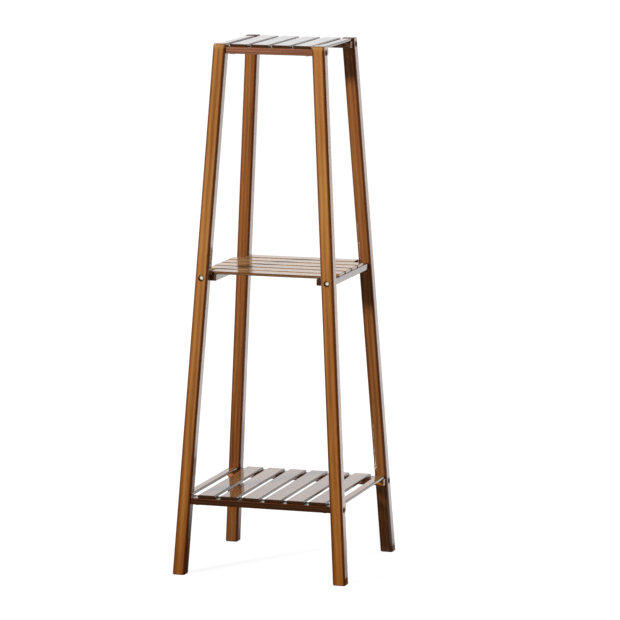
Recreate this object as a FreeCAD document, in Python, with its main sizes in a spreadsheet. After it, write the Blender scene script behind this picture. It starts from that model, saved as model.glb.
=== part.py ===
# Three-tier floor rack: four splayed legs, three slatted shelves and the fasteners that hold them together.
# X runs to the right along the front, Y to the back and Z up, from the floor under the middle of the rack.
import FreeCAD, Part
import Sketcher
import os

SIZES = {
    # Legs: square bars with rounded arrises, leaning in alike on both axes
    "rack_height": 965.0,
    "foot_spread": 329.1,
    "top_spread": 208.5,
    "leg_side": 24.0,
    "leg_arris": 5.0,
    "leg_top_round": 3.4,
    "leg_foot_bevel": 1.2,
    # Shelf levels, at the top of the slats; the top shelf lies just below the leg tops
    "bottom_level": 146.3,
    "middle_level": 553.4,
    "top_drop": 1.0,
    # Slats: whole ones spread over each shelf's room with even gaps, half ones beside the legs
    "bottom_slat_gap": 9.0,
    "middle_slat_gap": 6.1,
    "top_slat_gap": 6.6,
    "half_slat_width": 16.5,
    "slat_thickness": 5.0,
    "slat_round": 2.2,
    "slat_round_limit_share": 0.47,
    "slat_end_round": 0.9,
    "slat_leg_gap": 1.0,
    "slat_setback": 7.4,
    "middle_slat_setback": 1.0,
    "half_slat_inset": 3.5,
    "middle_slat_inset": 15.5,
    "bottom_side_gap": 9.6,
    "top_side_gap": 4.1,
    # Rails: the web butts between two legs, the tongue runs on behind the leg's inner corner
    "rail_height": 12.0,
    "rail_round": 1.5,
    "bolt_cover": 7.5,
    "tongue_width": 11.5,
    "tongue_lip": 1.0,
    "joint_gap": 0.1,
    # Bolts: round heads with a hexagon socket, sunk below the legs' outer faces
    "bolt_diameter": 6.0,
    "bolt_play": 0.4,
    "bolt_bite": 20.0,
    "head_diameter": 10.0,
    "head_height": 3.2,
    "head_rim": 1.8,
    "head_recess": 6.0,
    "head_play": 1.6,
    "socket_across": 2.5,
    "socket_depth": 1.0,
    # Barrel nuts: cross dowels pushed up into the rails from below
    "nut_diameter": 10.0,
    "nut_play": 0.2,
    "nut_setback": 11.0,
    "nut_cover": 1.2,
    "nut_proud": 0.8,
    "nut_slot_width": 1.4,
    "nut_slot_depth": 1.2,
    "thread_play": 0.1,
    # Pins: headless brads that hold the slats on the rails, a share of a whole slat's width off its middle
    "pin_diameter": 1.8,
    "pin_play": 0.1,
    "pin_bite": 7.5,
    "pin_spread_share": 0.25,
    # Run of every cut past the face it leaves through
    "overrun": 2.0,
}

# How near an edge must lie to a face to be picked as one of that face's edges
PICK_REACH = 0.01
ENDS = (-1, 1)
UP = FreeCAD.Vector(0, 0, 1)
OUTWARD = {
    "front": FreeCAD.Vector(0, -1, 0),
    "back": FreeCAD.Vector(0, 1, 0),
    "left": FreeCAD.Vector(-1, 0, 0),
    "right": FreeCAD.Vector(1, 0, 0),
}
RAIL_SIDES = {
    "bottom": ("front", "back"),
    "middle": ("right", "left"),
    "top": ("front", "back"),
}

doc = FreeCAD.newDocument("FloorRack")
sheet = doc.addObject("Spreadsheet::Sheet", "Sizes")
for row, (alias, value) in enumerate(SIZES.items(), start=1):
    sheet.set(f"A{row}", alias)
    sheet.set(f"B{row}", str(value))
    sheet.setAlias(f"B{row}", alias)
doc.recompute()

# Expressions for the places that several pieces share
SPLAY = "((Sizes.foot_spread - Sizes.top_spread) / (2 * Sizes.rack_height))"
LEVELS = {
    "bottom": "Sizes.bottom_level",
    "middle": "Sizes.middle_level",
    "top": "(Sizes.rack_height - Sizes.top_drop)",
}


def outer(height):
    """Distance from the rack's axis to the legs' outer faces at a height."""
    return f"(Sizes.foot_spread / 2 - {SPLAY} * {height})"


def inner(height):
    """Distance from the rack's axis to the legs' inner faces at a height."""
    return f"({outer(height)} - Sizes.leg_side)"


def rail_top(tier):
    return f"({LEVELS[tier]} - Sizes.slat_thickness)"


def rail_foot(tier):
    return f"({rail_top(tier)} - Sizes.rail_height)"


def bolt_height(tier):
    return f"({rail_top(tier)} - Sizes.rail_height / 2)"


def bolt_line(tier):
    """Distance from the rack's axis to the bolts' axes, down the middle of the legs."""
    return f"({outer(bolt_height(tier))} - Sizes.leg_side / 2)"


def rail_face(tier):
    return f"({bolt_line(tier)} + Sizes.bolt_cover)"


def notch_face(tier):
    """Distance from the rack's axis to the tongue's face along the legs' inner faces."""
    return f"({inner(rail_top(tier))} - Sizes.joint_gap)"


def pin_line(tier):
    return f"({notch_face(tier)} - Sizes.tongue_width / 2)"


def number(expression):
    return float(sheet.evalExpression(expression))


# Slat layout: the room that the whole slats spread over, either way from the middle of the shelf
ROOM = {
    "bottom": f"({inner(LEVELS['bottom'])} - Sizes.bottom_side_gap)",
    "middle": f"({outer(LEVELS['middle'])} - Sizes.middle_slat_inset)",
    "top": f"({inner(LEVELS['top'])} - Sizes.top_side_gap)",
}
SETBACK = {
    "bottom": "Sizes.slat_setback",
    "middle": "Sizes.middle_slat_setback",
    "top": "Sizes.slat_setback",
}


def slat_layout(tier, whole_slats):
    """List each slat across the shelf: its offset, width and length, and its pins' offsets."""
    level = LEVELS[tier]
    gap = f"Sizes.{tier}_slat_gap"
    width = f"((2 * {ROOM[tier]} - {whole_slats - 1} * {gap}) / {whole_slats})"
    whole = f"(2 * ({rail_face(tier)} - {SETBACK[tier]}))"
    short = f"(2 * ({inner(level)} - Sizes.slat_leg_gap))"
    slats = []
    for index in range(whole_slats):
        offset = f"({index} - {(whole_slats - 1) / 2}) * ({width} + {gap})"
        reach = abs(number(offset)) + number(f"{width} / 2 + Sizes.slat_leg_gap")
        length = short if reach > number(inner(level)) else whole
        spread = f"Sizes.pin_spread_share * {width}"
        pins = [f"{offset} - {spread}", f"{offset} + {spread}"]
        slats.append((offset, width, length, pins))
    if tier == "middle":
        return slats
    side = f"({outer(level)} - Sizes.half_slat_inset - Sizes.half_slat_width / 2)"
    halves = [(f"{end} * {side}", "Sizes.half_slat_width", short, [f"{end} * {side}"]) for end in ENDS]
    return halves[:1] + slats + halves[1:]


def shelf_edge(tier):
    """Distance from the rack's axis to the outermost slat's outer edge."""
    if tier == "middle":
        return ROOM[tier]
    return f"({outer(LEVELS[tier])} - Sizes.half_slat_inset)"


def turned_to(side):
    """Turn about the rack's axis that brings a piece drawn on the front round to another side."""
    return FreeCAD.Rotation(UP.cross(OUTWARD[side]), -OUTWARD[side], UP, "ZXY")


def place(piece, side, across, along, height):
    """Move a piece to a place given as if on the front: across to the right, along to the back, and up."""
    right = UP.cross(OUTWARD[side])
    back = -OUTWARD[side]
    piece.setExpression("Placement.Base.x", f"{right.x} * ({across}) + {back.x} * ({along})")
    piece.setExpression("Placement.Base.y", f"{right.y} * ({across}) + {back.y} * ({along})")
    piece.setExpression("Placement.Base.z", height)


def add_body(label):
    body = doc.addObject("PartDesign::Body", label)
    body.Label = label
    return body


def origin_plane(body, role):
    return next(feature for feature in body.Origin.OriginFeatures if feature.Role == role)


def add_sketch(body, role, lift="0"):
    """Add a sketch on one of the body's origin planes, lifted along the plane's normal."""
    sketch = body.newObject("Sketcher::SketchObject", "Sketch")
    sketch.AttachmentSupport = [(origin_plane(body, role), "")]
    sketch.MapMode = "FlatFace"
    sketch.setExpression("AttachmentOffset.Base.z", lift)
    return sketch


def bind(sketch, constraint, expression):
    """Add a driving constraint whose value follows an expression."""
    index = sketch.addConstraint(constraint)
    sketch.setExpression(f"Constraints[{index}]", expression)


def add_outline(sketch, points):
    """Draw a closed outline of straight lines through rough points, for constraints to size."""
    corners = [FreeCAD.Vector(x, y, 0) for x, y in points]
    lines = []
    for start, end in zip(corners, corners[1:] + corners[:1]):
        lines.append(sketch.addGeometry(Part.LineSegment(start, end), False))
    for line, following in zip(lines, lines[1:] + lines[:1]):
        sketch.addConstraint(Sketcher.Constraint("Coincident", line, 2, following, 1))
    return lines


def add_rectangle(sketch, width, depth):
    """Draw a rectangle centred on the sketch's origin."""
    half_width = number(width) / 2
    half_depth = number(depth) / 2
    low_points = [(-half_width, -half_depth), (half_width, -half_depth)]
    high_points = [(half_width, half_depth), (-half_width, half_depth)]
    low, right, high, left = add_outline(sketch, low_points + high_points)
    for line in (low, high):
        sketch.addConstraint(Sketcher.Constraint("Horizontal", line))
    for line in (left, right):
        sketch.addConstraint(Sketcher.Constraint("Vertical", line))
    sketch.addConstraint(Sketcher.Constraint("Symmetric", low, 1, high, 1, -1, 1))
    bind(sketch, Sketcher.Constraint("DistanceX", low, 1, low, 2, 2 * half_width), width)
    bind(sketch, Sketcher.Constraint("DistanceY", right, 1, right, 2, 2 * half_depth), depth)


def add_trapezoid(sketch, low_length, high_length, height):
    """Draw a bar's face standing on the sketch's X axis, even about its Y axis."""
    low_half = number(low_length) / 2
    high_half = number(high_length) / 2
    rise = number(height)
    points = [(-low_half, 0), (low_half, 0), (high_half, rise), (-high_half, rise)]
    low, right, high, left = add_outline(sketch, points)
    sketch.addConstraint(Sketcher.Constraint("PointOnObject", low, 1, -1))
    sketch.addConstraint(Sketcher.Constraint("Symmetric", low, 1, low, 2, -2))
    sketch.addConstraint(Sketcher.Constraint("Symmetric", high, 1, high, 2, -2))
    bind(sketch, Sketcher.Constraint("DistanceX", low, 1, low, 2, 2 * low_half), low_length)
    bind(sketch, Sketcher.Constraint("DistanceX", high, 2, high, 1, 2 * high_half), high_length)
    bind(sketch, Sketcher.Constraint("DistanceY", right, 1, right, 2, rise), height)


def add_circle(sketch, diameter, across, along):
    """Draw a circle whose centre lies at two signed offsets from the sketch's origin."""
    centre = FreeCAD.Vector(number(across), number(along), 0)
    circle = sketch.addGeometry(Part.Circle(centre, UP, number(diameter) / 2), False)
    bind(sketch, Sketcher.Constraint("Diameter", circle, number(diameter)), diameter)
    for axis, place, offset in (("DistanceX", across, centre.x), ("DistanceY", along, centre.y)):
        bind(sketch, Sketcher.Constraint(axis, -1, 1, circle, 3, offset), place)


def add_pad(body, sketch, length, back=False):
    pad = body.newObject("PartDesign::Pad", "Pad")
    pad.Profile = sketch
    pad.setExpression("Length", length)
    pad.Reversed = back
    doc.recompute()
    return pad


def add_pocket(body, sketch, length, back=False):
    """Cut from a sketch, against the plane's normal or back along it; the solid must lose volume."""
    before = body.Shape.Volume
    pocket = body.newObject("PartDesign::Pocket", "Pocket")
    pocket.Profile = sketch
    pocket.setExpression("Length", length)
    pocket.Reversed = back
    doc.recompute()
    if not body.Shape.Volume < before:
        raise RuntimeError(f"{body.Label}: a cut removed nothing")
    return pocket


def edge_names(shape, wanted):
    return [f"Edge{index}" for index, edge in enumerate(shape.Edges, start=1) if wanted(edge)]


def round_edges(body, wanted, radius):
    base = body.Tip
    fillet = body.newObject("PartDesign::Fillet", "Fillet")
    fillet.Base = (base, edge_names(base.Shape, wanted))
    fillet.setExpression("Radius", radius)
    doc.recompute()


def at_height(edge, height):
    return all(abs(vertex.Z - height) < PICK_REACH for vertex in edge.Vertexes)


def add_leg(label, side_x, side_y):
    """One leaning leg, drawn from the middle of its foot, with its three bolt holes."""
    body = add_body(label)
    foot = add_sketch(body, "XY_Plane")
    add_rectangle(foot, "Sizes.leg_side", "Sizes.leg_side")
    bar = add_pad(body, foot, "Sizes.rack_height")
    bar.UseCustomVector = True
    bar.setExpression("Direction.x", f"{-side_x} * {SPLAY}")
    bar.setExpression("Direction.y", f"{-side_y} * {SPLAY}")
    bar.setExpression("Direction.z", "1")
    doc.recompute()
    rise = number("Sizes.rack_height")
    round_edges(body, lambda edge: edge.BoundBox.ZLength > rise / 2, "Sizes.leg_arris")
    round_edges(body, lambda edge: at_height(edge, rise), "Sizes.leg_top_round")
    base = body.Tip
    bevel = body.newObject("PartDesign::Chamfer", "Chamfer")
    bevel.Base = (base, edge_names(base.Shape, lambda edge: at_height(edge, 0)))
    bevel.setExpression("Size", "Sizes.leg_foot_bevel")
    doc.recompute()
    for tier in LEVELS:
        add_leg_bolt_hole(body, tier, side_x, side_y)
    body.setExpression("Placement.Base.x", f"{side_x} * (Sizes.foot_spread - Sizes.leg_side) / 2")
    body.setExpression("Placement.Base.y", f"{side_y} * (Sizes.foot_spread - Sizes.leg_side) / 2")
    return body


def add_leg_bolt_hole(body, tier, side_x, side_y):
    """A bolt hole right through the leg and the seat that sinks the bolt's head below its outer face."""
    height = bolt_height(tier)
    lean = f"{SPLAY} * {height}"
    if "front" in RAIL_SIDES[tier]:
        role, across, outward = "YZ_Plane", f"{-side_y} * {lean}", side_x
    else:
        role, across, outward = "XZ_Plane", f"{-side_x} * {lean}", -side_y
    near = f"(Sizes.leg_side / 2 - {lean} - Sizes.head_recess)"
    far = f"(Sizes.leg_side / 2 + {lean} + Sizes.overrun)"
    hole = add_sketch(body, role, f"{outward} * {near}")
    add_circle(hole, "Sizes.bolt_diameter + Sizes.bolt_play", across, height)
    add_pocket(body, hole, f"{near} + {far}", outward < 0)
    seat = add_sketch(body, role, f"{outward} * {near}")
    add_circle(seat, "Sizes.head_diameter + Sizes.head_play", across, height)
    add_pocket(body, seat, "Sizes.head_recess + Sizes.overrun", outward > 0)


def add_rail(label, tier, side, pins):
    """One rail, drawn on the front of the rack and turned to its own side, with its bolt and pin holes."""
    body = add_body(label)
    web = add_sketch(body, "XZ_Plane", rail_face(tier))
    low_end = f"2 * ({inner(rail_foot(tier))} - Sizes.joint_gap)"
    high_end = f"2 * ({inner(rail_top(tier))} - Sizes.joint_gap)"
    add_trapezoid(web, low_end, high_end, "Sizes.rail_height")
    add_pad(body, web, f"{rail_face(tier)} - {notch_face(tier)}", back=True)
    tongue = add_sketch(body, "XZ_Plane", notch_face(tier))
    tongue_length = f"2 * ({shelf_edge(tier)} + Sizes.tongue_lip)"
    add_trapezoid(tongue, tongue_length, tongue_length, "Sizes.rail_height")
    add_pad(body, tongue, "Sizes.tongue_width", back=True)
    half_length = number(inner(rail_top(tier)))
    for face in (f"-1 * {rail_face(tier)}", f"Sizes.tongue_width - {notch_face(tier)}"):
        depth = number(face)
        round_edges(body, lambda edge: edge.BoundBox.XLength > half_length
                    and abs(edge.BoundBox.Center.y - depth) < PICK_REACH, "Sizes.rail_round")
    add_rail_bolt_holes(body, tier)
    pin_holes = add_sketch(body, "XY_Plane", "Sizes.rail_height")
    for pin in pins:
        add_circle(pin_holes, "Sizes.pin_diameter + Sizes.pin_play", pin, f"-1 * {pin_line(tier)}")
    add_pocket(body, pin_holes, "Sizes.pin_bite + Sizes.pin_play")
    body.Placement.Rotation = turned_to(side)
    place(body, side, "0", "0", rail_foot(tier))
    return body


def add_rail_bolt_holes(body, tier):
    """The bolt's hole into each end of a rail and the barrel nut's blind hole up to meet it."""
    end = inner(bolt_height(tier))
    line = f"-1 * {bolt_line(tier)}"
    depth = "(Sizes.bolt_bite + Sizes.overrun)"
    bolt_hole = add_sketch(body, "YZ_Plane", f"{end} - {depth}")
    add_circle(bolt_hole, "Sizes.bolt_diameter + Sizes.bolt_play", line, "Sizes.rail_height / 2")
    bolt_cut = add_pocket(body, bolt_hole, f"{depth} + Sizes.overrun", back=True)
    nut_hole = add_sketch(body, "XY_Plane")
    add_circle(nut_hole, "Sizes.nut_diameter + Sizes.nut_play", f"{end} - Sizes.nut_setback", line)
    nut_cut = add_pocket(body, nut_hole, "Sizes.rail_height - Sizes.nut_cover", back=True)
    other_end = body.newObject("PartDesign::Mirrored", "Mirrored")
    other_end.Originals = [bolt_cut, nut_cut]
    other_end.MirrorPlane = (origin_plane(body, "YZ_Plane"), [""])
    body.Tip = other_end
    doc.recompute()


def add_slat(label, tier, side, offset, width, length, pins):
    """One slat with well rounded long edges, drawn from front to back and turned to run across its rails."""
    body = add_body(label)
    outline = add_sketch(body, "XY_Plane")
    add_rectangle(outline, width, length)
    add_pad(body, outline, "Sizes.slat_thickness")
    half_length = number(f"({length}) / 2")
    long_round = "min(Sizes.slat_round; Sizes.slat_round_limit_share * Sizes.slat_thickness)"
    round_edges(body, lambda edge: edge.BoundBox.YLength > half_length, long_round)
    round_edges(body, lambda edge: edge.BoundBox.YLength < PICK_REACH, "Sizes.slat_end_round")
    pin_holes = add_sketch(body, "XY_Plane", "Sizes.slat_thickness")
    hole = "Sizes.pin_diameter + Sizes.pin_play"
    for pin in pins:
        for end in ENDS:
            add_circle(pin_holes, hole, f"{pin} - ({offset})", f"{end} * {pin_line(tier)}")
    add_pocket(body, pin_holes, "Sizes.slat_thickness + Sizes.overrun")
    body.Placement.Rotation = turned_to(side)
    place(body, side, offset, "0", rail_top(tier))
    return body


def add_hexagon(sketch, across):
    """Draw a hexagon about the sketch's origin, sized across its flats."""
    corner = number(f"{across} / sqrt(3)")
    turns = [FreeCAD.Rotation(UP, 60 * step) for step in range(6)]
    points = [turn.multVec(FreeCAD.Vector(corner, 0, 0)) for turn in turns]
    lines = add_outline(sketch, [(point.x, point.y) for point in points])
    ring = sketch.addGeometry(Part.Circle(FreeCAD.Vector(), UP, corner), True)
    sketch.addConstraint(Sketcher.Constraint("Coincident", ring, 3, -1, 1))
    bind(sketch, Sketcher.Constraint("Radius", ring, corner), f"{across} / sqrt(3)")
    for line in lines:
        sketch.addConstraint(Sketcher.Constraint("PointOnObject", line, 1, ring))
    for line in lines[2:]:
        sketch.addConstraint(Sketcher.Constraint("Equal", lines[0], line))
    sketch.addConstraint(Sketcher.Constraint("PointOnObject", lines[0], 1, -1))


def add_bolt():
    """The bolt that every shelf uses, along Z: its domed head above the seat and its shank below."""
    body = add_body("bolt")
    reach = "Sizes.leg_side - Sizes.head_recess + Sizes.joint_gap + Sizes.bolt_bite"
    head = add_sketch(body, "XY_Plane")
    add_circle(head, "Sizes.head_diameter", "0", "0")
    add_pad(body, head, "Sizes.head_height")
    crown = number("Sizes.head_height")
    round_edges(body, lambda edge: at_height(edge, crown), "Sizes.head_height - Sizes.head_rim")
    shank = add_sketch(body, "XY_Plane")
    add_circle(shank, "Sizes.bolt_diameter", "0", "0")
    add_pad(body, shank, reach, back=True)
    socket = add_sketch(body, "XY_Plane", "Sizes.head_height - Sizes.socket_depth")
    add_hexagon(socket, "Sizes.socket_across")
    add_pocket(body, socket, "Sizes.socket_depth + Sizes.overrun", back=True)
    return body


def add_barrel_nut():
    """The barrel nut that every bolt screws into, standing along Z with its cross hole along X."""
    body = add_body("barrel_nut")
    bore_height = "Sizes.nut_proud + Sizes.rail_height / 2"
    barrel = add_sketch(body, "XY_Plane")
    add_circle(barrel, "Sizes.nut_diameter", "0", "0")
    add_pad(body, barrel, "Sizes.rail_height - Sizes.nut_cover + Sizes.nut_proud - Sizes.nut_play")
    thread = add_sketch(body, "YZ_Plane", "Sizes.nut_diameter")
    add_circle(thread, "Sizes.bolt_diameter + Sizes.thread_play", "0", bore_height)
    add_pocket(body, thread, "2 * Sizes.nut_diameter")
    slot = add_sketch(body, "XY_Plane")
    add_rectangle(slot, "2 * Sizes.nut_diameter", "Sizes.nut_slot_width")
    add_pocket(body, slot, "Sizes.nut_slot_depth", back=True)
    return body


def add_group(label, copies):
    """Gather the copies of a piece as one named group of separate solids."""
    group = doc.addObject("Part::Compound", label)
    group.Label = label
    group.Links = copies
    return group


def add_copy(piece, side, turn, across, along, height):
    copy = doc.addObject("App::Link", f"{piece.Label}_copy")
    copy.LinkedObject = piece
    copy.Placement.Rotation = turn
    place(copy, side, across, along, height)
    return copy


def add_bolts(label, tier):
    """A bolt at both ends of both rails, its head on the seat sunk in the leg's outer face."""
    seat = f"({outer(bolt_height(tier))} - Sizes.head_recess)"
    line = f"-1 * {bolt_line(tier)}"
    copies = []
    for side in RAIL_SIDES[tier]:
        for end in ENDS:
            turn = turned_to(side) * FreeCAD.Rotation(UP, FreeCAD.Vector(end, 0, 0))
            copies.append(add_copy(bolt, side, turn, f"{end} * {seat}", line, bolt_height(tier)))
    return add_group(label, copies)


def add_barrel_nuts(label, tier):
    """A nut at both ends of both rails, its cross hole in line with the bolt."""
    setback = f"({inner(bolt_height(tier))} - Sizes.nut_setback)"
    line = f"-1 * {bolt_line(tier)}"
    foot = f"{rail_foot(tier)} - Sizes.nut_proud"
    copies = []
    for side in RAIL_SIDES[tier]:
        for end in ENDS:
            copies.append(add_copy(barrel_nut, side, turned_to(side), f"{end} * {setback}", line, foot))
    return add_group(label, copies)


def add_pins(label, tier, side, pins):
    """All the pins of one shelf, from the slats' tops down into both rails."""
    body = add_body(label)
    points = add_sketch(body, "XY_Plane")
    for pin in pins:
        for end in ENDS:
            add_circle(points, "Sizes.pin_diameter", pin, f"{end} * {pin_line(tier)}")
    add_pad(body, points, "Sizes.pin_bite + Sizes.slat_thickness")
    body.Placement.Rotation = turned_to(side)
    place(body, side, "0", "0", f"{rail_top(tier)} - Sizes.pin_bite")
    return body


def add_shelf(tier, whole_slats):
    """One shelf: its two rails, the slats across them, the pins, and the bolts and nuts at its corners."""
    slats = slat_layout(tier, whole_slats)
    pins = [pin for *_, slat_pins in slats for pin in slat_pins]
    first_side = RAIL_SIDES[tier][0]
    shelf = [add_rail(f"{tier}_rail_{side}", tier, side, pins) for side in RAIL_SIDES[tier]]
    for count, slat in enumerate(slats, start=1):
        shelf.append(add_slat(f"{tier}_slat_{count}", tier, first_side, *slat))
    shelf.append(add_bolts(f"{tier}_bolts", tier))
    shelf.append(add_barrel_nuts(f"{tier}_barrel_nuts", tier))
    shelf.append(add_pins(f"{tier}_pins", tier, first_side, pins))
    return shelf


# The whole rack: a leg at each corner, then the shelves from the bottom up
pieces = []
for depth_name, side_y in (("front", -1), ("back", 1)):
    for width_name, side_x in (("left", -1), ("right", 1)):
        pieces.append(add_leg(f"leg_{depth_name}_{width_name}", side_x, side_y))
bolt = add_bolt()
barrel_nut = add_barrel_nut()
pieces += add_shelf("bottom", whole_slats=6)
pieces += add_shelf("middle", whole_slats=6)
pieces += add_shelf("top", whole_slats=4)
doc.recompute()

# Every object must have come out whole before anything is written
for item in doc.Objects:
    if "Invalid" in item.State or "Error" in item.State:
        raise RuntimeError(f"{item.Label} failed: {item.State}")
for piece in pieces:
    if piece.Shape.isNull() or not piece.Shape.isValid():
        raise RuntimeError(f"{piece.Label} has no valid shape")

os.makedirs("parts", exist_ok=True)
for piece in pieces:
    piece.Shape.exportStep(f"parts/{piece.Label}.step")
    print(f"{piece.Label}: {len(piece.Shape.Solids)} solids, {piece.Shape.Volume:.0f} mm3")
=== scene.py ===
import math
import bmesh
import bpy
from mathutils import Euler, Matrix, Vector

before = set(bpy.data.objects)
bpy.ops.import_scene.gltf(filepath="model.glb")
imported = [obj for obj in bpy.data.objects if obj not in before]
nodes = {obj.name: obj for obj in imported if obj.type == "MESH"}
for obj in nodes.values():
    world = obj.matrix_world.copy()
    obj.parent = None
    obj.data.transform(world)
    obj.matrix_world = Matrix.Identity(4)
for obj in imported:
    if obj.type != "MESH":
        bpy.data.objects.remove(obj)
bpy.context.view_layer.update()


# The four legs are square bars of stained hardwood with rounded arrises, planed and lacquered to a gloss.
# Each is sawn from its own board and leans in towards the top, and its grain leans with it. The stain is
# darkest along the arrises, deepened there with painted shade, and the front legs' tops carry a paler
# painted highlight.
LEG_LEAN = 0.0625
LEG_FOOT = 0.15255
LEG_HALF = 0.012
LEG_RING_WIDTH = 0.0055
UPRIGHT = (0.0, 0.0, 0.0)
LEG_HEARTS = {
    "leg_front_left": (0.047, -0.090),
    "leg_front_right": (-0.062, -0.082),
    "leg_back_left": (0.085, 0.061),
    "leg_back_right": (-0.071, 0.088),
}
LEG_BOARD_SHIFT = (0.7, 1.9)
LEG_TONES = {
    "leg_front_left": ((0.21, 0.076, 0.014), (0.34, 0.142, 0.034), (0.42, 0.205, 0.062)),
    "leg_front_right": ((0.22, 0.080, 0.014), (0.35, 0.145, 0.034), (0.42, 0.200, 0.062)),
    "leg_back_left": ((0.14, 0.044, 0.011), (0.26, 0.094, 0.021), (0.33, 0.138, 0.040)),
    "leg_back_right": ((0.14, 0.044, 0.011), (0.25, 0.093, 0.022), (0.33, 0.138, 0.040)),
}
LEG_SIDE_TO_SIDE = {
    "leg_front_left": (1.08, 0.90),
    "leg_front_right": (0.90, 1.14),
    "leg_back_left": (1.06, 0.96),
    "leg_back_right": (0.94, 1.04),
}
# Painted highlight: the front legs' tops are lightened where they catch the light.
LEG_TOP_HIGHLIGHT = {"front": 0.8, "back": 0.0}
# Painted shade: the legs darken towards the foot, where less light reaches them.
LEG_FOOT_PAINTED_SHADE = {"front": (0.70, 0.54, 0.31), "back": (0.70, 0.66, 0.62)}
LEG_ARRIS_STAIN_AND_SHADE = 0.85
LEG_GLOSS = (0.10, 1.5)
# Painted shade: the legs' flat top and bottom faces are darkened against their sides.
LEG_FACE_SHADE_LEVELS = (1.0, 0.7)

# Each pattern in the wood has its waves per metre across and along the grain, then its detail.
SWAY = (14.0, 2.2, 2.0)
BROAD = (60.0, 3.2, 3.0)
FIBRES = (420.0, 9.0, 4.0, 0.65)
SPECKS = (850.0, 34.0, 2.0)
STREAKS = (170.0, 2.4, 2.0)
FLOW = (55.0, 16.0, 1.0)
SWAY_REACH = (0.012, 0.012, 0.0)
WAVE_LENGTH = 0.314
PORE_LEVELS = (0.60, 0.72)
FIGURE_SHARES = (0.52, 0.18, 0.44, -0.12)
STAIN_LEVELS = (0.36, 0.58, 0.78)
STREAK_TINTS = ((0.36, (1.03, 0.91, 0.96)), (0.64, (1.00, 1.05, 0.92)))
EDGE_REACH = (0.45, 0.90)
EDGE_STAIN = (0.62, 0.52, 0.46)
# The arris colour is partly the stain that gathers there and partly painted shade.
ARRIS_STAIN_AND_SHADE = (0.150, 0.034, 0.004)
ARRIS_TURN = (0.997, 0.92)
TOP_HIGHLIGHT_BAND = (0.954, 0.961)
PAINTED_SHADE_HEIGHT = 0.62
FACE_SHADE_TURN = (0.3, 0.9)
RELIEF_SHARES = (0.6, -0.5, 0.25)
GRAIN_RELIEF = {"Strength": 0.35, "Distance": 0.0004}
LACQUER_RELIEF = {"Strength": 0.06, "Distance": 0.0005}
WOOD_ROUGHNESS = (0.48, 0.68)
WOOD_SPECULAR = 0.02
PLAIN = (1.0, 1.0, 1.0)


def put(tree, kind, inputs, **settings):
    node = tree.nodes.new("ShaderNode" + kind)
    for key, value in settings.items():
        setattr(node, key, value)
    for key, value in inputs.items():
        if isinstance(value, bpy.types.NodeSocket):
            tree.links.new(value, node.inputs[key])
        else:
            node.inputs[key].default_value = value
    return node


def maths(tree, operation, *values):
    return put(tree, "Math", dict(enumerate(values)), operation=operation).outputs[0]


def vector_maths(tree, operation, *values):
    return put(tree, "VectorMath", dict(enumerate(values)), operation=operation).outputs["Vector"]


def blend(tree, level, first, second):
    return put(tree, "Mix", {0: level, 6: first, 7: second}, data_type="RGBA").outputs[2]


def ramp(tree, level, stops):
    node = put(tree, "ValToRGB", {"Fac": level})
    elements = node.color_ramp.elements
    while len(elements) < len(stops):
        elements.new(0.5)
    for element, (position, colour) in zip(elements, stops):
        element.position = position
        element.color = (*colour, 1.0)
    return node.outputs["Color"]


def spread(tree, level, low, high, at_low, at_high):
    inputs = {"Value": level, "From Min": low, "From Max": high, "To Min": at_low, "To Max": at_high}
    return put(tree, "MapRange", inputs).outputs["Result"]


def soft_step(tree, level, low, high):
    inputs = {"Value": level, "From Min": low, "From Max": high}
    return put(tree, "MapRange", inputs, interpolation_type="SMOOTHSTEP").outputs["Result"]


def weighted_sum(tree, levels, shares):
    total = 0.0
    for level, share in zip(levels, shares):
        total = maths(tree, "MULTIPLY_ADD", level, share, total)
    return total


def grain_noise(tree, grain, across, along, detail, roughness=0.55):
    stretch = put(tree, "Mapping", {"Vector": grain, "Scale": (across, across, along)}).outputs["Vector"]
    inputs = {"Vector": stretch, "Scale": 1.0, "Detail": detail, "Roughness": roughness}
    return put(tree, "TexNoise", inputs)


def new_material(name):
    material = bpy.data.materials.new(name)
    material.use_nodes = True
    material.node_tree.nodes.clear()
    return material


def finish_material(material, inputs):
    tree = material.node_tree
    surface = put(tree, "BsdfPrincipled", inputs)
    put(tree, "OutputMaterial", {"Surface": surface.outputs["BSDF"]})
    return material


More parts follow.
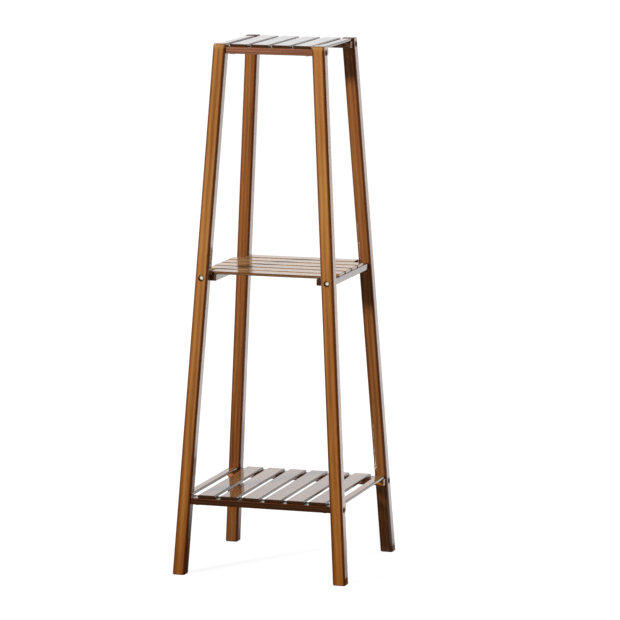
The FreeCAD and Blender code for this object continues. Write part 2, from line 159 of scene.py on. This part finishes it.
def lacquered_wood(
    name, turn, heart, ring_width, tones, arris_stain_and_shade_share, gloss, face_shade_levels,
    lean=(0.0, 0.0), painted_foot_shade=PLAIN, top_highlight_share=0.0,
    core=(0.0, 0.0, 0.0), half=1.0, side_to_side=(1.0, 1.0),
):
    material = new_material(name)
    tree = material.node_tree
    place = put(tree, "TexCoord", {}).outputs["Object"]
    height = put(tree, "SeparateXYZ", {"Vector": place}).outputs["Z"]
    upright = vector_maths(tree, "MULTIPLY_ADD", (*lean, 0.0), height, place)
    board = put(tree, "Mapping", {"Vector": upright, "Rotation": turn, "Location": heart})
    board = board.outputs["Vector"]

    # Growth rings, broad bands, fibres and pores make up the figure that takes the stain.
    sway = grain_noise(tree, board, *SWAY).outputs["Color"]
    grain = vector_maths(tree, "MULTIPLY_ADD", sway, SWAY_REACH, board)
    ring_inputs = {"Vector": grain, "Scale": WAVE_LENGTH / ring_width, "Distortion": 0.0}
    rings = put(tree, "TexWave", ring_inputs, wave_type="RINGS", rings_direction="Z").outputs["Fac"]
    broad = grain_noise(tree, grain, *BROAD).outputs["Fac"]
    fibres = grain_noise(tree, grain, *FIBRES).outputs["Fac"]
    specks = grain_noise(tree, board, *SPECKS).outputs["Fac"]
    pores = soft_step(tree, specks, *PORE_LEVELS)
    figure = weighted_sum(tree, (broad, rings, fibres, pores), FIGURE_SHARES)
    stain = ramp(tree, figure, tuple(zip(STAIN_LEVELS, tones)))
    streaks = grain_noise(tree, grain, *STREAKS).outputs["Fac"]
    stain = vector_maths(tree, "MULTIPLY", stain, ramp(tree, streaks, STREAK_TINTS))

    # The stain gathers towards the arrises, where painted shade darkens it further, and a painted highlight
    # lightens the front legs' tops.
    offset = vector_maths(tree, "SUBTRACT", upright, core)
    offset = put(tree, "SeparateXYZ", {"Vector": offset})
    across = maths(tree, "ABSOLUTE", offset.outputs["X"])
    inward = maths(tree, "ABSOLUTE", offset.outputs["Y"])
    edgeward = maths(tree, "MINIMUM", across, inward)
    gathered = soft_step(tree, edgeward, EDGE_REACH[0] * half, EDGE_REACH[1] * half)
    gathered = ramp(tree, gathered, ((0.0, PLAIN), (1.0, EDGE_STAIN)))
    stain = vector_maths(tree, "MULTIPLY", stain, gathered)
    facing = put(tree, "NewGeometry", {}).outputs["Normal"]
    facing = put(tree, "SeparateXYZ", {"Vector": vector_maths(tree, "ABSOLUTE", facing)})
    squarest = maths(tree, "MAXIMUM", facing.outputs["X"], facing.outputs["Y"])
    squarest = maths(tree, "MAXIMUM", squarest, facing.outputs["Z"])
    arris_stain_and_shade = maths(tree, "MULTIPLY", soft_step(tree, squarest, *ARRIS_TURN), arris_stain_and_shade_share)
    # Painted highlight on the front legs' tops, which also keeps the painted arris shade off them.
    painted_top_highlight = maths(tree, "MULTIPLY", soft_step(tree, height, *TOP_HIGHLIGHT_BAND), top_highlight_share)
    arris_stain_and_shade = maths(tree, "MULTIPLY", arris_stain_and_shade, maths(tree, "SUBTRACT", 1.0, painted_top_highlight))
    stain = blend(tree, painted_top_highlight, stain, (*tones[-1], 1.0))
    stain = blend(tree, arris_stain_and_shade, stain, (*ARRIS_STAIN_AND_SHADE, 1.0))

    # Painted shade darkens it towards the foot and, by which way each face points, on its sides or flat
    # faces; it is also deeper to one side of the board.
    painted_foot_shading = ramp(tree, height, ((0.0, painted_foot_shade), (PAINTED_SHADE_HEIGHT, PLAIN)))
    stain = vector_maths(tree, "MULTIPLY", stain, painted_foot_shading)
    # Painted shade by which way each face points.
    painted_face_shade = spread(tree, facing.outputs["Z"], *FACE_SHADE_TURN, *face_shade_levels)
    side_shade = spread(tree, offset.outputs["X"], -half, half, *side_to_side)
    shade = maths(tree, "MULTIPLY", painted_face_shade, side_shade)
    colour = put(tree, "VectorMath", {0: stain, "Scale": shade}, operation="SCALE").outputs["Vector"]

    relief = weighted_sum(tree, (fibres, pores, rings), RELIEF_SHARES)
    flow = grain_noise(tree, board, *FLOW).outputs["Fac"]
    return finish_material(material, {
        "Base Color": colour,
        "Roughness": spread(tree, fibres, 0.0, 1.0, *WOOD_ROUGHNESS),
        "Normal": put(tree, "Bump", {**GRAIN_RELIEF, "Height": relief}).outputs["Normal"],
        "Specular IOR Level": WOOD_SPECULAR,
        "Coat Weight": 1.0,
        "Coat Roughness": gloss[0],
        "Coat IOR": gloss[1],
        "Coat Normal": put(tree, "Bump", {**LACQUER_RELIEF, "Height": flow}).outputs["Normal"],
    })


def dress(name, material):
    for slot in nodes[name].material_slots:
        slot.material = material


for leg, (heart_x, heart_y) in LEG_HEARTS.items():
    row = leg.split("_")[1]
    side_x = -1.0 if leg.endswith("left") else 1.0
    side_y = -1.0 if row == "front" else 1.0
    core = Vector((side_x * LEG_FOOT, side_y * LEG_FOOT, 0.0))
    shift = side_x * LEG_BOARD_SHIFT[0] + side_y * LEG_BOARD_SHIFT[1]
    heart = Vector((heart_x, heart_y, shift)) - core
    wood = lacquered_wood(
        leg + "_wood", UPRIGHT, heart, LEG_RING_WIDTH, LEG_TONES[leg],
        LEG_ARRIS_STAIN_AND_SHADE, LEG_GLOSS, LEG_FACE_SHADE_LEVELS,
        lean=(side_x * LEG_LEAN, side_y * LEG_LEAN),
        painted_foot_shade=LEG_FOOT_PAINTED_SHADE[row], top_highlight_share=LEG_TOP_HIGHLIGHT[row],
        core=core, half=LEG_HALF, side_to_side=LEG_SIDE_TO_SIDE[leg],
    )
    dress(leg, wood)


# The six rails are flat-sided bars of the same stained wood, bolted end-on between two legs, with a tongue
# at each end under the outermost slat. Their grain runs along them.
ALONG_X = (0.0, math.radians(90.0), 0.0)
ALONG_Y = (math.radians(90.0), 0.0, 0.0)
RAIL_TURNS = {"front": ALONG_X, "back": ALONG_X, "left": ALONG_Y, "right": ALONG_Y}
RAIL_RING_WIDTH = 0.0045
RAIL_HEART = Vector((0.05, 0.06, 0.0))
RAIL_HEART_STEP = Vector((0.31, -0.23, 0.4))
# Painted shade: the bottom and middle rails get darker tones than the top rail. Painted light: the bottom
# back rail's paler tone stands in for light thrown up from the floor.
RAIL_TONES_AND_PAINTED_LIGHT = {
    "bottom": ((0.018, 0.005, 0.0015), (0.044, 0.014, 0.003), (0.085, 0.030, 0.007)),
    "bottom_rail_back": ((0.180, 0.054, 0.008), (0.360, 0.120, 0.018), (0.500, 0.190, 0.042)),
    "middle": ((0.020, 0.006, 0.002), (0.050, 0.016, 0.004), (0.095, 0.034, 0.009)),
    "middle_rail_left": ((0.042, 0.015, 0.005), (0.105, 0.040, 0.012), (0.190, 0.076, 0.024)),
    "top": ((0.070, 0.025, 0.012), (0.185, 0.074, 0.036), (0.330, 0.150, 0.080)),
}
RAIL_GLOSS = {"bottom": (0.12, 1.5), "middle": (0.12, 1.5), "top": (0.25, 1.25)}
RAIL_ARRIS_STAIN_AND_SHADE = 0.6
RAIL_FACE_SHADE_LEVELS = (1.0, 1.0)

rails = [name for name in nodes if "_rail_" in name]
for number, rail in enumerate(sorted(rails)):
    tier, side = rail.split("_rail_")
    heart = RAIL_HEART + number * RAIL_HEART_STEP
    tones = RAIL_TONES_AND_PAINTED_LIGHT.get(rail, RAIL_TONES_AND_PAINTED_LIGHT[tier])
    wood = lacquered_wood(
        rail + "_wood", RAIL_TURNS[side], heart, RAIL_RING_WIDTH, tones,
        RAIL_ARRIS_STAIN_AND_SHADE, RAIL_GLOSS[tier], RAIL_FACE_SHADE_LEVELS,
    )
    dress(rail, wood)


# The twenty slats are thin boards of the same wood with softened edges, pinned across the rails. They carry
# the thickest lacquer, so that their tops mirror what stands behind them.
SLAT_TURNS = {"bottom": ALONG_Y, "middle": ALONG_X, "top": ALONG_Y}
SLAT_RING_WIDTH = 0.0040
SLAT_HEART = Vector((0.04, 0.05, 0.0))
SLAT_HEART_STEP = Vector((0.47, -0.29, 0.53))
SLAT_TONES = {
    "bottom": ((0.170, 0.068, 0.022), (0.310, 0.143, 0.052), (0.420, 0.215, 0.092)),
    "middle": ((0.225, 0.118, 0.046), (0.365, 0.212, 0.094), (0.465, 0.292, 0.150)),
    "top": ((0.170, 0.068, 0.022), (0.310, 0.143, 0.052), (0.420, 0.215, 0.092)),
}
SLAT_GLOSS = {"bottom": (0.06, 1.55), "middle": (0.13, 1.36), "top": (0.06, 1.5)}
# Painted shade: the slats' side faces are darkened against their tops.
SLAT_FACE_SHADE_LEVELS = {
    "bottom": (0.12, 1.0),
    "middle": (0.8, 1.0),
    "middle_slat_1": (0.55, 1.0),
    "top": (0.18, 1.0),
}
# Painted shade: middle_slat_1's edges are darkened, both here and in its face shade levels.
SLAT_ARRIS_STAIN_AND_SHADE = {"bottom": 0.8, "middle": 0.06, "middle_slat_1": 1.0, "top": 0.8}

slats = [name for name in nodes if "_slat_" in name]
for number, slat in enumerate(sorted(slats)):
    tier = slat.split("_slat_")[0]
    heart = SLAT_HEART + number * SLAT_HEART_STEP
    arris_stain_and_shade_share = SLAT_ARRIS_STAIN_AND_SHADE.get(slat, SLAT_ARRIS_STAIN_AND_SHADE[tier])
    face_shade_levels = SLAT_FACE_SHADE_LEVELS.get(slat, SLAT_FACE_SHADE_LEVELS[tier])
    wood = lacquered_wood(
        slat + "_wood", SLAT_TURNS[tier], heart, SLAT_RING_WIDTH, SLAT_TONES[tier],
        arris_stain_and_shade_share, SLAT_GLOSS[tier], face_shade_levels,
    )
    dress(slat, wood)


# The bolts, barrel nuts and brad pins are bright-plated steel. The bolt heads lie in seats in the legs, with
# a painted highlight in their middles and a painted dark reflection towards their rims; the nuts' ends show
# under the rails, and the pins' ends are dots on the slats.
BOLT_STEEL = ((0.95, 0.92, 0.85), (0.80, 0.77, 0.70), 0.45)
NUT_STEEL = ((0.52, 0.54, 0.50), (0.34, 0.36, 0.33), 0.35)
PIN_STEEL = ((0.40, 0.38, 0.36), (0.26, 0.24, 0.22), 0.40)
HEAD_RADIUS = 0.005
HEAD_PAINTED_HIGHLIGHT = (0.0012, 0.0037)
HEAD_PAINTED_DARK_RIM = (0.20, 0.14, 0.09, 1.0)
WEAR_CLOUD = {"Scale": 420.0, "Detail": 4.0, "Roughness": 0.6}
WEAR_SCRATCH = {"Scale": 2600.0, "Detail": 2.0}
WEAR_SHARES = (0.8, 0.2)
WEAR_LEVELS = (0.35, 0.62)
WEAR_ROUGHNESS = (0.12, -0.06)
STEEL_RELIEF = {"Strength": 0.2, "Distance": 0.0001}


def plated_steel(name, colour, worn, roughness, head=(0.0, 0.0, 0.0), across=(0.0, 0.0, 0.0)):
    material = new_material(name)
    tree = material.node_tree
    place = put(tree, "TexCoord", {}).outputs["Object"]
    cloud = put(tree, "TexNoise", {"Vector": place, **WEAR_CLOUD}).outputs["Fac"]
    scratch = put(tree, "TexNoise", {"Vector": place, **WEAR_SCRATCH}).outputs["Fac"]
    wear = weighted_sum(tree, (cloud, scratch), WEAR_SHARES)
    tint = ramp(tree, wear, tuple(zip(WEAR_LEVELS, (worn, colour))))
    offset = vector_maths(tree, "SUBTRACT", vector_maths(tree, "ABSOLUTE", place), head)
    offset = vector_maths(tree, "MULTIPLY", offset, across)
    radius = put(tree, "VectorMath", {0: offset}, operation="LENGTH").outputs["Value"]
    # Painted highlight at the middle of each bolt head, and a painted dark reflection towards its rim.
    tint = blend(tree, soft_step(tree, radius, *HEAD_PAINTED_HIGHLIGHT), tint, HEAD_PAINTED_DARK_RIM)
    return finish_material(material, {
        "Base Color": tint,
        "Metallic": 1.0,
        "Roughness": spread(tree, wear, 0.0, 1.0, *(roughness + change for change in WEAR_ROUGHNESS)),
        "Normal": put(tree, "Bump", {**STEEL_RELIEF, "Height": scratch}).outputs["Normal"],
    })


nut_steel = plated_steel("nut_steel", *NUT_STEEL)
pin_steel = plated_steel("pin_steel", *PIN_STEEL)
for tier in ("bottom", "middle", "top"):
    bolts = nodes[tier + "_bolts"]
    corners = [bolts.matrix_world @ Vector(corner) for corner in bolts.bound_box]
    bolt_height = sum(corner.z for corner in corners) / len(corners)
    if tier == "middle":
        head = (max(corner.x for corner in corners) - HEAD_RADIUS, 0.0, bolt_height)
        across = (1.0, 0.0, 1.0)
    else:
        head = (0.0, max(corner.y for corner in corners) - HEAD_RADIUS, bolt_height)
        across = (0.0, 1.0, 1.0)
    dress(tier + "_bolts", plated_steel(tier + "_bolt_steel_with_painted_highlight", *BOLT_STEEL, head, across))
    dress(tier + "_barrel_nuts", nut_steel)
    dress(tier + "_pins", pin_steel)


# The rack stands on a white studio floor that runs into a white backdrop and keeps its faint shadow. A soft
# key light stands at the front left, with fill lights behind and above, and the room in front is dim. A side
# screen, a sheet on the floor and a small warm card are there to be mirrored in the lacquer.
FLOOR_REACH = 40.0
FLOOR_GLOW = (0.90, 1.0)
GLOW_REACH = (0.5, 2.6)
SWEEP_FRONT = (0.0, 0.6)
FLOOR_SHADE = (0.22, 0.22, 0.22, 1.0)
FLOOR_GREY = (0.45, 0.45, 0.45, 1.0)
AMBIENT = 0.13
ROOM_GLOW = 0.05
ROOM_GREY = (ROOM_GLOW, ROOM_GLOW, ROOM_GLOW, 1.0)
BACKDROP_TURN = (0.55, 0.85)
BACKDROP_RISE = (0.20, 0.34)
BACKDROP_FADE = (1.0, 0.3)
KEY_PLACE = (-4.50, -7.25, 3.35)
KEY_AIM = (0.0, 0.0, 0.55)
KEY_SIZE = (0.85, 0.85)
KEY_POWER = 860.0
WARM_CARD_PLACE = (-0.83, 2.6, 0.95)
WARM_CARD_SIZE = (0.66, 0.30)
WARM_CARD_POWER = 0.15
WARM_CARD_COLOUR = (1.0, 0.40, 0.04)
SIDE_SCREEN_PLACE = (1.05, 1.7, 0.75)
SIDE_SCREEN_SIZE = (1.7, 1.5)
SIDE_SCREEN_POWER = 5.4
SIDE_SHEET_PLACE = (0.69, 0.775, 0.01)
SIDE_SHEET_SIZE = (1.04, 1.85)
SIDE_SHEET_POWER = 4.6
FILL_PLACE = (2.0, 3.0, 1.5)
FILL_AIM = (0.0, 0.0, 0.5)
FILL_SIZE = (2.4, 2.4)
FILL_POWER = 60.0
TOP_PLACE = (0.0, 0.4, 3.6)
TOP_AIM = (0.0, 0.0, 0.0)
TOP_SIZE = (2.2, 2.2)
TOP_POWER = 34.0
FORWARD = Vector((0.0, -1.0, 0.0))
UPWARD = Vector((0.0, 0.0, 1.0))
WHITE = (1.0, 1.0, 1.0, 1.0)
COOL_WHITE = (1.06, 1.14, 1.20, 1.0)


def soft_light(name, place, target, size, power):
    lamp = bpy.data.lights.new(name, "AREA")
    lamp.shape = "RECTANGLE"
    lamp.size, lamp.size_y = size
    lamp.energy = power
    light = bpy.data.objects.new(name, lamp)
    light.location = place
    light.rotation_euler = (Vector(target) - Vector(place)).to_track_quat("-Z", "Y").to_euler()
    light.visible_camera = False
    bpy.context.scene.collection.objects.link(light)
    return light


def by_ray(tree, shown, mirrored, lighting):
    path = put(tree, "LightPath", {})
    seen = maths(tree, "MAXIMUM", path.outputs["Is Camera Ray"], path.outputs["Is Transmission Ray"])
    glossy = path.outputs["Is Glossy Ray"]
    bounced = put(tree, "MixShader", {0: glossy, 1: lighting, 2: mirrored}).outputs[0]
    return put(tree, "MixShader", {0: seen, 1: bounced, 2: shown}).outputs[0]


world = bpy.data.worlds.new("studio")
bpy.context.scene.world = world
world.use_nodes = True
tree = world.node_tree
tree.nodes.clear()
heading = put(tree, "SeparateXYZ", {"Vector": put(tree, "TexCoord", {}).outputs["Generated"]})
behind = spread(tree, heading.outputs["Y"], *BACKDROP_TURN, ROOM_GLOW, 1.0)
fade = spread(tree, heading.outputs["Z"], *BACKDROP_RISE, *BACKDROP_FADE)
strength = maths(tree, "MULTIPLY", fade, behind)
mirrored = put(tree, "Background", {"Color": COOL_WHITE, "Strength": strength})
backdrop = put(tree, "Background", {"Color": WHITE, "Strength": 1.0})
ambient = put(tree, "Background", {"Color": WHITE, "Strength": AMBIENT})
sky = by_ray(tree, backdrop.outputs[0], mirrored.outputs[0], ambient.outputs[0])
put(tree, "OutputWorld", {"Surface": sky})

mesh = bpy.data.meshes.new("studio_floor")
sheet = bmesh.new()
bmesh.ops.create_grid(sheet, x_segments=1, y_segments=1, size=FLOOR_REACH)
sheet.to_mesh(mesh)
sheet.free()
floor = bpy.data.objects.new("studio_floor", mesh)
bpy.context.scene.collection.objects.link(floor)
paint = new_material("floor_paint")
tree = paint.node_tree
spot = put(tree, "TexCoord", {}).outputs["Object"]
reach = put(tree, "VectorMath", {0: spot}, operation="LENGTH").outputs["Value"]
strength = spread(tree, reach, *GLOW_REACH, *FLOOR_GLOW)
glow = put(tree, "Emission", {"Color": WHITE, "Strength": strength}).outputs[0]
shadow = put(tree, "BsdfDiffuse", {"Color": FLOOR_SHADE}).outputs[0]
white = put(tree, "AddShader", {0: glow, 1: shadow}).outputs[0]
dim = put(tree, "BsdfDiffuse", {"Color": ROOM_GREY}).outputs[0]
depth = put(tree, "SeparateXYZ", {"Vector": spot}).outputs["Y"]
sweep = put(tree, "MixShader", {0: soft_step(tree, depth, *SWEEP_FRONT), 1: dim, 2: white}).outputs[0]
grey = put(tree, "BsdfDiffuse", {"Color": FLOOR_GREY}).outputs[0]
put(tree, "OutputMaterial", {"Surface": by_ray(tree, white, sweep, grey)})
mesh.materials.append(paint)

soft_light("key_light", KEY_PLACE, KEY_AIM, KEY_SIZE, KEY_POWER)
card_aim = Vector(WARM_CARD_PLACE) + FORWARD
warm_card = soft_light("warm_card", WARM_CARD_PLACE, card_aim, WARM_CARD_SIZE, WARM_CARD_POWER)
warm_card.data.color = WARM_CARD_COLOUR
screen_aim = Vector(SIDE_SCREEN_PLACE) + FORWARD
soft_light("side_screen", SIDE_SCREEN_PLACE, screen_aim, SIDE_SCREEN_SIZE, SIDE_SCREEN_POWER)
sheet_aim = Vector(SIDE_SHEET_PLACE) + UPWARD
side_sheet = soft_light("side_sheet", SIDE_SHEET_PLACE, sheet_aim, SIDE_SHEET_SIZE, SIDE_SHEET_POWER)
side_sheet.visible_diffuse = False
fill_light = soft_light("fill_light", FILL_PLACE, FILL_AIM, FILL_SIZE, FILL_POWER)
fill_light.visible_glossy = False
top_light = soft_light("top_light", TOP_PLACE, TOP_AIM, TOP_SIZE, TOP_POWER)
top_light.visible_glossy = False


# The camera stands a little to the right of the rack's front and looks slightly down, through a long lens.
# It is aimed beside the rack's middle, so that the rack stands left of the picture's centre.
VIEW_TURN = math.radians(17.304)
VIEW_TILT = math.radians(8.848)
VIEW_ROLL = math.radians(0.083)
VIEW_DISTANCE = 7.6323
VIEW_RIGHT = 0.04453
VIEW_DOWN = 0.01275
VIEW_REACH = 100.0
SENSOR = 36.0
LENS = 242.51
RACK_MIDDLE = Vector((0.0, 0.0, 0.4835))

lens = bpy.data.cameras.new("camera")
lens.sensor_width = SENSOR
lens.lens = LENS
lens.clip_end = VIEW_REACH
camera = bpy.data.objects.new("camera", lens)
turn = Euler((math.radians(90.0) - VIEW_TILT, 0.0, VIEW_TURN)).to_matrix()
turn = turn @ Matrix.Rotation(VIEW_ROLL, 3, "Z")
aim = RACK_MIDDLE + turn @ Vector((VIEW_RIGHT, -VIEW_DOWN, 0.0))
place = aim + turn @ Vector((0.0, 0.0, VIEW_DISTANCE))
camera.matrix_world = Matrix.Translation(place) @ turn.to_4x4()
bpy.context.scene.collection.objects.link(camera)
bpy.context.scene.camera = camera
bpy.context.scene.view_settings.view_transform = "Standard"
